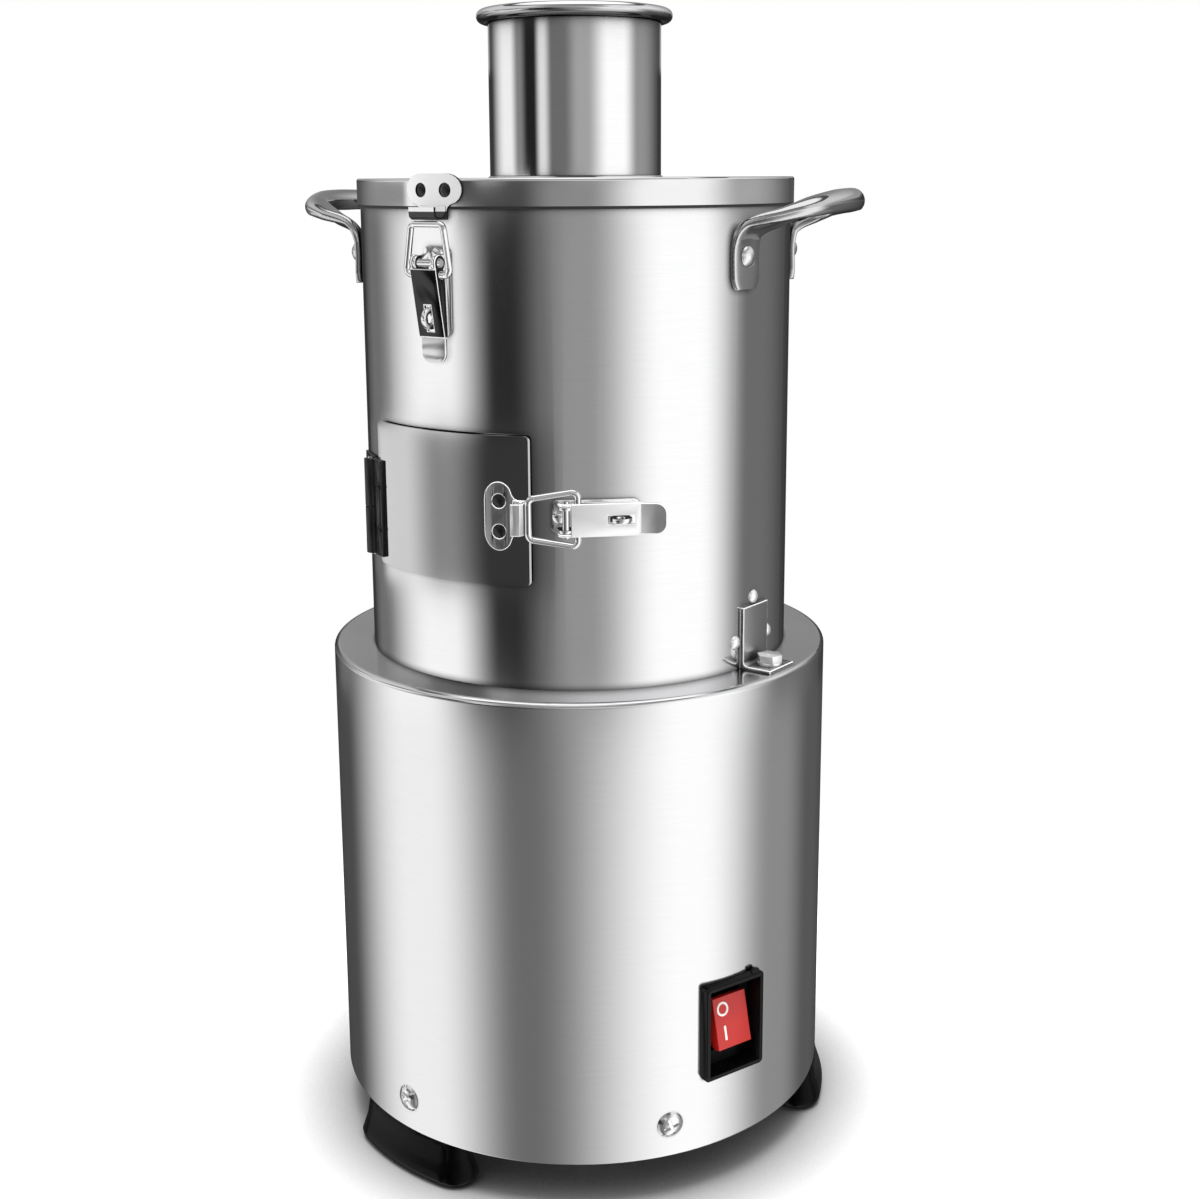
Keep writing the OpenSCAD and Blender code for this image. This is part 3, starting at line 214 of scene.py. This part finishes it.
# Oxide: dark heads that swallow the light; on the rivets it also stands in as painted shade in their recess,
# and on the lid keepers' cut faces it is painted shade
dark_oxide_and_shade = steel("steel, dark oxide and painted shade", "#3a3a3b", 0.3, 0.1, 0.6, 0.001)
# A rivet set cold: a domed head with one broad highlight
rivet_steel = steel("stainless rivet, set cold", "#e2e2e2", 0.26, 0.06, 0.6, 0.0008)
# Painted highlight: a thin near-white line round a pressed piece, where its cut edge would catch the light
edge_highlight_steel = steel("painted edge highlight", "#f8f8f8", 0.4, 0.1, 0.6, 0.0008, metal=0.15)
# White zinc: chalky bright heads and weld spots
bolt_steel = steel("steel, white zinc", "#f4f4f4", 0.24, 0.06, 0.6, 0.0008, metal=0.7)
# Polished strap: long liquid reflections, and painted shade where it meets the drum
strap_steel = steel("stainless strap, polished", "#c8c8c8", 0.06, 0.03, 0.6, 0.0008, painted_shade_mm=4)
# Drawn wire: one thin bright line along each bend
wire_steel = steel("steel wire, bright drawn", "#ececec", 0.08, 0.05, 0.5, 0.0006)
# Die-cast aluminium: dull, faintly pitted grey
cast_alloy = steel("aluminium, die cast", "#a9abad", 0.42, 0.1, 0.7, 0.01)
print(len(bpy.data.materials), "materials with the fittings")

# %% [markdown]
# ## Plastic, rubber and paint
# A mould leaves a faint orange-peel skin on plastic, rubber is duller and dusty, and
# the motor's enamel is in between. A painted image could carry the dust, but a noise
# of about 12 mm does it with no picture and from every side.

# %% Moulded and painted finishes
DUST_MM = 12
SKIN_MM, SKIN_DEPTH_MM = 0.8, 0.004
DUSTY_ROUGH = 0.12  # how much rougher the dusty places are


def moulded(name, colour, rough, worn="", shine=0.5):
    material, tree, shader = new_material(name, Specular_IOR_Level=shine)
    place = add(tree, "ShaderNodeTexCoord").outputs["Object"]
    skin = add(tree, "ShaderNodeTexNoise", {"Vector": place, "Scale": per_metre(SKIN_MM), "Detail": 2.0})
    dust = add(tree, "ShaderNodeTexNoise", {"Vector": place, "Scale": per_metre(DUST_MM), "Detail": 4.0})
    for socket, stops in (("Roughness", [(0.35, rough), (0.8, rough + DUSTY_ROUGH)]),
                          ("Base Color", [(0.45, colour), (0.95, worn or colour)])):
        spread = add(tree, "ShaderNodeValToRGB", {"Fac": dust.outputs["Fac"]}, stops)
        tree.links.new(spread.outputs["Color"], shader.inputs[socket])
    bump = add(tree, "ShaderNodeBump", {
        "Height": skin.outputs["Fac"], "Strength": 1.0, "Distance": SKIN_DEPTH_MM / 1000})
    tree.links.new(bump.outputs["Normal"], shader.inputs["Normal"])
    return material


# Glossy switch frame: deep black with thin highlights on its edges
black_plastic = moulded("polyamide, black gloss", "#050506", 0.2, worn="#0e0e0f", shine=0.18)
# Feet: blacker still, and smoother
foot_plastic = moulded("polypropylene, black gloss", "#020202", 0.14, worn="#070707", shine=0.07)
# Rocker: saturated red under a soft gloss
red_plastic = moulded("polycarbonate, red", "#c0211a", 0.28, worn="#ad1b15")
# Print on the rocker: matt warm white
white_print = moulded("pad print, white", "#f3ece8", 0.4)
# Gaskets, strips and pads: dull charcoal
black_rubber = moulded("nitrile rubber, black", "#1c1c1c", 0.6, worn="#2a2a2a")
# Lacquered hinge: black with a sheen of wear
hinge_lacquer = moulded("steel, black lacquer", "#0c0c0d", 0.28, worn="#1a1a1b", shine=0.35)
# Motor: dark grey enamel
motor_paint = moulded("enamel, dark grey", "#33373a", 0.35, worn="#3c4043")
# Leads: brown PVC
lead_cover = moulded("wire cover, brown", "#6a3d22", 0.45)
print(len(bpy.data.materials), "materials in all")

# %% [markdown]
# ## Which piece has which finish
# Every CAD piece is named once under its finish. A rule on the names could pick the
# finishes, but a plain list shows at a glance what is made of what.

# %% Dress the pieces
FINISH = {
    base_steel: ["base_shell"],
    drum_steel: ["drum_shell"],
    tube_steel: ["feed_tube"],
    lid_steel: ["lid"],
    door_steel: ["door_panel"],
    bracket_steel: ["bracket_right", "bracket_left"],
    keeper_steel: ["door_keeper"],
    satin_steel: ["bottom_plate", "drum_floor", "capacitor_clip", "peeling_disc"],
    bright_steel: ["base_screws", "bracket_nuts", "latch_plates", "latch_pins", "latch_rivets", "hinge_pin",
                   "disc_nut", "motor_bolts", "bearings", "foot_screws", "rotor"],
    bolt_steel: ["bracket_bolts", "bracket_welds"],
    hook_steel: ["lid_keepers"],
    tongue_steel: ["door_lever"],
    rivet_steel: ["handle_rivets"],
    lever_steel: ["lid_lever_front", "lid_lever_rear"],
    dark_oxide_and_shade: ["lid_rivets", "door_rivets", "drum_hinge_screws", "door_hinge_screws"],
    strap_steel: ["handle_right", "handle_left"],
    wire_steel: ["lid_bail_front", "lid_bail_rear", "door_bail"],
    cast_alloy: ["motor_top_bell", "motor_bottom_bell", "capacitor"],
    black_plastic: ["switch_bezel", "switch_body", "cable_gland", "gland_nut"],
    foot_plastic: ["foot_front", "foot_right", "foot_rear"],
    red_plastic: ["rocker"],
    white_print: ["rocker_marks"],
    black_rubber: ["shaft_seal", "wall_strips", "disc_pads", "lid_gasket", "door_gasket"],
    hinge_lacquer: ["door_hinge_leaf", "drum_hinge_leaf"],
    motor_paint: ["motor_housing"],
    lead_cover: ["leads"],
}
SMOOTH_UNDER = math.radians(32)
ROUNDED_UNDER = math.radians(55)
ROUNDED = FINISH[strap_steel] + FINISH[foot_plastic]

for finish, names in FINISH.items():
    for name in names:
        mesh = nodes[name].data
        mesh.materials.clear()
        mesh.materials.append(finish)
        mesh.shade_smooth()
        mesh.set_sharp_from_angle(angle=ROUNDED_UNDER if name in ROUNDED else SMOOTH_UNDER)
print(sum(map(len, FINISH.values())), "pieces dressed of", len(nodes))

# %% [markdown]
# ## Soft edges
# A press or a mould leaves an edge slightly round, and that roundness catches the
# light. It could be cut into every CAD solid; a bevel modifier does it here and
# leaves the solids alone. CAD faces come with a seam between each two, so they are
# joined first. On pressed pieces the bevel takes a painted highlight, a near-white
# finish for the light their cut edge catches. The lid's keepers get painted shade
# instead: their edge-on faces take a dark finish.

# %% Soft edges
BEVEL_MM = {
    "latch_plates": 0.2, "switch_bezel": 0.5, "rocker": 0.6, "bracket_bolts": 0.4, "foot_front": 1.2,
    "foot_right": 1.2, "foot_rear": 1.2, "door_hinge_leaf": 0.3, "drum_hinge_leaf": 0.3, "cable_gland": 0.5,
}
HIGHLIT_EDGE_MM = {
    "door_keeper": 0.35, "lid_lever_front": 0.35, "lid_lever_rear": 0.35, "door_lever": 0.35,
    "bracket_right": 0.4, "bracket_left": 0.4,
}
SEAM_M = 1e-6


def join_faces(piece):
    piece.modifiers.new("joined faces", "WELD").merge_threshold = SEAM_M


for name, width in (BEVEL_MM | HIGHLIT_EDGE_MM).items():
    join_faces(nodes[name])
    bevel = nodes[name].modifiers.new("soft edges", "BEVEL")
    bevel.width = width / 1000
    bevel.segments = 2
    bevel.limit_method = "ANGLE"
    bevel.angle_limit = SMOOTH_UNDER
    bevel.harden_normals = True
    # Painted highlight on the bevel of these pieces
    if name in HIGHLIT_EDGE_MM:
        nodes[name].data.materials.append(edge_highlight_steel)
        bevel.material = 1
        bevel.use_clamp_overlap = False
EDGE_ON = 0.5  # a cut face looks neither outwards nor inwards
# Painted shade: the lid keepers' edge-on faces get the dark finish
keepers = nodes["lid_keepers"].data
keepers.materials.append(dark_oxide_and_shade)
for face in keepers.polygons:
    outward = Vector((face.center.x, face.center.y, 0)).normalized()
    if abs(face.normal.dot(outward)) < EDGE_ON:
        face.material_index = 1
print(len(BEVEL_MM), "soft pieces and", len(HIGHLIT_EDGE_MM), "sheared ones")

# %% [markdown]
# ## Handle straps
# Each handle is one strap, rolled round in the grip and flat at its ends. Its CAD
# solid is made of small flat facets that carry their own normals, and polished steel
# shows every one. Dropping those normals, joining the facets and one subdivision
# turn them into one smooth skin, with no new shape to model.

# %% Handle straps
for name in FINISH[strap_steel]:
    mesh = nodes[name].data
    mesh.attributes.remove(mesh.attributes["custom_normal"])
    join_faces(nodes[name])
    nodes[name].modifiers.new("rolled round", "SUBSURF").render_levels = 1
    print(name, "has", len(mesh.polygons), "facets")

# %% [markdown]
# ## What the sheet mirrors
# In a light tent the cloth is so bright that small fittings hardly show in the sheet
# behind them. The tent could be made brighter until they drown, but that would burn
# out the steel as well, so these pieces are left out of the mirror images.

# %% What the sheet mirrors
UNMIRRORED = [
    "lid_bail_front", "lid_bail_rear", "door_bail", "lid_lever_front", "lid_lever_rear", "door_lever",
    "lid_keepers", "door_keeper", "latch_plates", "latch_pins", "latch_rivets", "lid_rivets", "door_rivets",
    "handle_right", "handle_left", "handle_rivets", "base_shell",
]
for name in UNMIRRORED:
    nodes[name].visible_glossy = False
print(len(UNMIRRORED), "pieces are not mirrored")

# %% [markdown]
# ## The tent's cloth
# Polished steel shows its surroundings, so the light is shaped by what stands around
# the machine. Lamps alone would leave hard spots on it. A round tent carries bright
# and dark cloth instead, one band for each storey of the machine: what the base
# mirrors hangs lowest, then come the drum, the door, the lid and the tube. White cloth
# on both sides and dark cloth in front give polished steel its long soft stripes.
# Between two cloths the light fades, and the last cloth of a band hangs behind.

# %% The tent's cloth
# Each cloth: left and right edge in degrees to the right of the camera, and brightness
BASE_BAND = [
    (-140, -135, 0.08), (-85, -70, 1.2), (-28, -22, 0.2), (45, 55, 1.4), (95, 105, 0.35), (130, 135, 0.12),
    (175, 185, 0.04),
]
# The drum and its door mirror the same cloth on their right
DRUM_RIGHT = [(0, 5, 0.4), (45, 65, 1.4), (100, 110, 0.2), (160, 205, 0.04)]
DRUM_BAND = [(-135, -130, 0.2), (-85, -70, 1.3), (-42, -34, 0.03)] + DRUM_RIGHT
DOOR_BAND = [(-140, -135, 0.2), (-120, -100, 1.05), (-75, -70, 0.4), (-45, -25, 0.06)] + DRUM_RIGHT
LID_BAND = [
    (-120, -97, 0.35), (-91, -66, 1.3), (-60, -28, 0.1), (-10, 5, 0.35), (35, 60, 1.3), (90, 95, 0.55),
    (150, 205, 0.1),
]
TUBE_SIDES = [
    (-105, -95, 1.2), (-80, -78, 0.3), (-65, -55, 0.02), (-45, -42, 1.0), (-30, -15, 0.2), (5, 15, 0.5),
    (45, 65, 1.4), (90, 95, 0.4),
]
TUBE_BAND = TUBE_SIDES + [(150, 215, 0.05)]
# The tube's rim also mirrors a grey cloth behind the machine
TUBE_TOP_BAND = [(-152, -145, 0.1)] + TUBE_SIDES + [(145, 152, 0.1), (158, 202, 0.45)]
LEDGE_BAND = [(-165, -150, 0.4), (-75, -60, 0.2), (35, 60, 1.3), (100, 105, 0.6), (170, 190, 0.3)]
TOP_BAND = [(-120, -60, 0.8), (-25, 25, 0.35), (50, 100, 1.0), (175, 185, 0.3)]
# Each band above the lowest: where it starts, in metres, and half the width of its seam
BANDS = [
    (DRUM_BAND, -0.26, 0.01), (DOOR_BAND, -0.1, 0.004), (DRUM_BAND, 0.118, 0.004), (LID_BAND, 0.407, 0.004),
    (TUBE_BAND, 0.4485, 0.003), (TUBE_TOP_BAND, 0.59, 0.01), (LEDGE_BAND, 0.66, 0.01), (TOP_BAND, 0.95, 0.1),
]
print(len(BANDS) + 1, "bands of cloth")

# %% [markdown]
# ## Stage pieces
# The tent and the floor are part of the studio, not of the machine. A real tent is
# lit by lamps outside it; cloth that glows by itself gives the same mirror image
# without any grain in the picture. Only mirrors see the tent: the camera and the
# paper see the white room.

# %% Stage pieces
def stage_mesh(name, points, faces, material):
    mesh = bpy.data.meshes.new(name)
    mesh.from_pydata(points, [], faces)
    mesh.materials.append(material)
    made = bpy.data.objects.new(name, mesh)
    bpy.context.scene.collection.objects.link(made)
    return made


def glow(name):
    """A plain emitting material; returns it with its tree and emission node."""
    material = bpy.data.materials.new(name)
    material.use_nodes = True
    tree = material.node_tree
    tree.nodes.clear()
    lit = add(tree, "ShaderNodeEmission", {"Strength": 1.0})
    add(tree, "ShaderNodeOutputMaterial", {"Surface": lit.outputs["Emission"]})
    return material, tree, lit


def mirrored_only(made):
    made.visible_camera = False
    made.visible_diffuse = False
    made.visible_shadow = False


print("stage helpers ready")

# %% [markdown]
# ## Tent wall
# The wall is a plain tube of cloth with a floor. Its bands could each be a strip of
# mesh with a material of its own; one material that looks up its own height and
# angle keeps all of them together and lets two bands share a soft seam.

# %% Tent wall
CAMERA_AT = 20  # degrees round the machine
TENT_R, TENT_LOW, TENT_HIGH, TENT_SIDES = 1.6, -1.4, 2.0, 96


def once_round(cloths):
    """Ramp stops once round the tent, from the middle of the cloth behind and back to it."""
    *sides, (behind_from, behind_to, behind) = cloths
    edges = [(-180, behind), (behind_to - 360, behind)]
    for left, right, tone in sides:
        edges += [(left, tone), (right, tone)]
    edges += [(behind_from, behind), (180, behind)]
    return [((angle + 180) / 360, tone) for angle, tone in edges]


cloth, tree, lit = glow("tent cloth, lit")
place = add(tree, "ShaderNodeTexCoord").outputs["Object"]
around = add(tree, "ShaderNodeTexGradient", {"Vector": place}, gradient_type="RADIAL").outputs["Fac"]
height = add(tree, "ShaderNodeSeparateXYZ", {"Vector": place}).outputs["Z"]
hung = None
for band, at, seam in [(BASE_BAND, TENT_LOW, 0.0)] + BANDS:
    ramp = add(tree, "ShaderNodeValToRGB", {"Fac": around}, once_round(band))
    ramp.color_ramp.interpolation = "EASE"
    row = ramp.outputs["Color"]
    if hung:
        above = add(tree, "ShaderNodeMapRange", {
            "Value": height, "From Min": at - seam, "From Max": at + seam},
            interpolation_type="SMOOTHSTEP").outputs["Result"]
        row = add(tree, "ShaderNodeMix", {"Factor": above, "A": hung, "B": row},
                  data_type="RGBA").outputs["Result"]
    hung = row
tree.links.new(hung, lit.inputs["Color"])

ring = [(TENT_R * math.cos(math.tau * i / TENT_SIDES), TENT_R * math.sin(math.tau * i / TENT_SIDES))
        for i in range(TENT_SIDES)]
sides = [(i, (i + 1) % TENT_SIDES, TENT_SIDES + (i + 1) % TENT_SIDES, TENT_SIDES + i)
         for i in range(TENT_SIDES)]
disc = tuple(range(TENT_SIDES))
tent = stage_mesh("tent", [(x, y, z) for z in (TENT_LOW, TENT_HIGH) for x, y in ring], sides + [disc], cloth)
tent.rotation_euler.z = math.radians(CAMERA_AT - 90)
mirrored_only(tent)
print("tent", TENT_R * 2, "m across, camera at", CAMERA_AT, "degrees")

# %% [markdown]
# ## Tent roof
# The lid and the ledge look up, so they mirror the roof. One lamp would show in them
# as a spot. A round of bright cloth that fades before the wall gives the lid an even
# tone, and leaves the ledge its darker rim.

# %% Tent roof
ROOF_LIGHT = [(0.62, 1.5), (0.78, 0.12)]  # share of the radius, brightness

roof_cloth, tree, lit = glow("tent roof, lit in the middle")
place = add(tree, "ShaderNodeTexCoord").outputs["Object"]
radius = add(tree, "ShaderNodeVectorMath", {0: place}, operation="LENGTH").outputs["Value"]
outward = add(tree, "ShaderNodeMapRange", {"Value": radius, "From Min": 0.0, "From Max": TENT_R})
fading = add(tree, "ShaderNodeValToRGB", {"Fac": outward.outputs["Result"]}, ROOF_LIGHT)
tree.links.new(fading.outputs["Color"], lit.inputs["Color"])
roof = stage_mesh("tent roof", [(x, y, 0) for x, y in ring], [disc], roof_cloth)
roof.location.z = TENT_HIGH
mirrored_only(roof)
print("roof at", TENT_HIGH, "m")

# %% [markdown]
# ## Floor
# The machine stands on white paper. Under the housing the paper is in shade, and
# further out it runs into the white room, so that no horizon shows. A curved sweep
# would do that in a studio; here the paper simply turns into even white light.

# %% Floor
FLOOR_HALF = 6.0
SHADE_REACH = 0.08  # metres within which the machine shades the paper
PAPER_SHADE = [(0.2, 0.05), (0.6, 0.4), (0.95, 0.9)]
FADE_FROM, FADE_TO = 0.16, 0.42

paper, tree, shader = new_material("paper sweep, white", Roughness=0.9)
# Painted shade: ambient occlusion darkens the paper's colour near the machine, on top of the lamp's own shadow
sky = add(tree, "ShaderNodeAmbientOcclusion", {"Distance": SHADE_REACH}, samples=8).outputs["AO"]
shaded = add(tree, "ShaderNodeValToRGB", {"Fac": sky}, PAPER_SHADE).outputs["Color"]
tree.links.new(shaded, shader.inputs["Base Color"])
place = add(tree, "ShaderNodeTexCoord").outputs["Object"]
away = add(tree, "ShaderNodeVectorMath", {0: place}, operation="LENGTH").outputs["Value"]
far = add(tree, "ShaderNodeMapRange", {"Value": away, "From Min": FADE_FROM, "From Max": FADE_TO},
          interpolation_type="SMOOTHSTEP").outputs["Result"]
lit = add(tree, "ShaderNodeEmission", {"Strength": 1.0}).outputs["Emission"]
sweep = add(tree, "ShaderNodeMixShader", {0: far, 1: shader.outputs["BSDF"], 2: lit}).outputs["Shader"]
tree.links.new(sweep, tree.nodes["Material Output"].inputs["Surface"])
corners = [(x * FLOOR_HALF, y * FLOOR_HALF, 0) for x, y in ((-1, -1), (1, -1), (1, 1), (-1, 1))]
floor = stage_mesh("floor", corners, [(0, 1, 2, 3)], paper)
floor.visible_glossy = False
print("floor fades to white between", FADE_FROM, "and", FADE_TO, "m")

# %% [markdown]
# ## Light
# The steel gets its light from the tent. What isn't a mirror, the plastic, the
# cloudy plating and the paper, needs a lamp: one large disc above, which gives soft
# shade under every edge, and the white room all around.

# %% Light
LAMP_HEIGHT, LAMP_SIZE, LAMP_WATTS = 2.2, 1.6, 62

lamp_data = bpy.data.lights.new("top light", "AREA")
lamp_data.shape = "DISK"
lamp_data.size = LAMP_SIZE
lamp_data.energy = LAMP_WATTS
lamp = bpy.data.objects.new("top light", lamp_data)
lamp.location.z = LAMP_HEIGHT
lamp.visible_glossy = False
bpy.context.scene.collection.objects.link(lamp)

room = bpy.data.worlds.new("white room")
room.use_nodes = True
backdrop = room.node_tree.nodes["Background"]
backdrop.inputs["Color"].default_value = linear("#ffffff")
backdrop.inputs["Strength"].default_value = 1.0
bpy.context.scene.world = room
bpy.context.scene.view_settings.view_transform = "Standard"
print(LAMP_WATTS, "W above,", len(bpy.data.materials), "materials with the stage")

# %% [markdown]
# ## Camera
# The photograph was taken level with the lid, close to the machine, so the sides
# run together downwards. The place below repeats that view: distance, height, tilt
# and framing. A longer lens from further off would flatten the base's curve.

# %% Camera
LENS_MM, SENSOR_MM, SHIFT_Y, NEAREST = 50.29, 36, -0.0659, 0.05
ASIDE, BACK, HEIGHT = -0.00195, 0.7866, 0.448  # metres from the machine's axis and the floor
TILT_DOWN = math.radians(11.558)
TURN_IN, ROLL = -0.01554, -0.00565  # radians

camera_data = bpy.data.cameras.new("camera")
camera_data.sensor_width = SENSOR_MM
camera_data.lens = LENS_MM
camera_data.shift_y = SHIFT_Y
camera_data.clip_start = NEAREST
camera = bpy.data.objects.new("camera", camera_data)
turn = math.radians(CAMERA_AT)
camera.location = Matrix.Rotation(turn, 3, "Z") @ Vector((ASIDE, -BACK, HEIGHT))
aim = Euler((math.radians(90) - TILT_DOWN, 0, turn + TURN_IN)).to_matrix()
camera.rotation_euler = (aim @ Matrix.Rotation(ROLL, 3, "Z")).to_euler()
bpy.context.scene.collection.objects.link(camera)
bpy.context.scene.camera = camera
print("camera at", [round(v, 3) for v in camera.location])
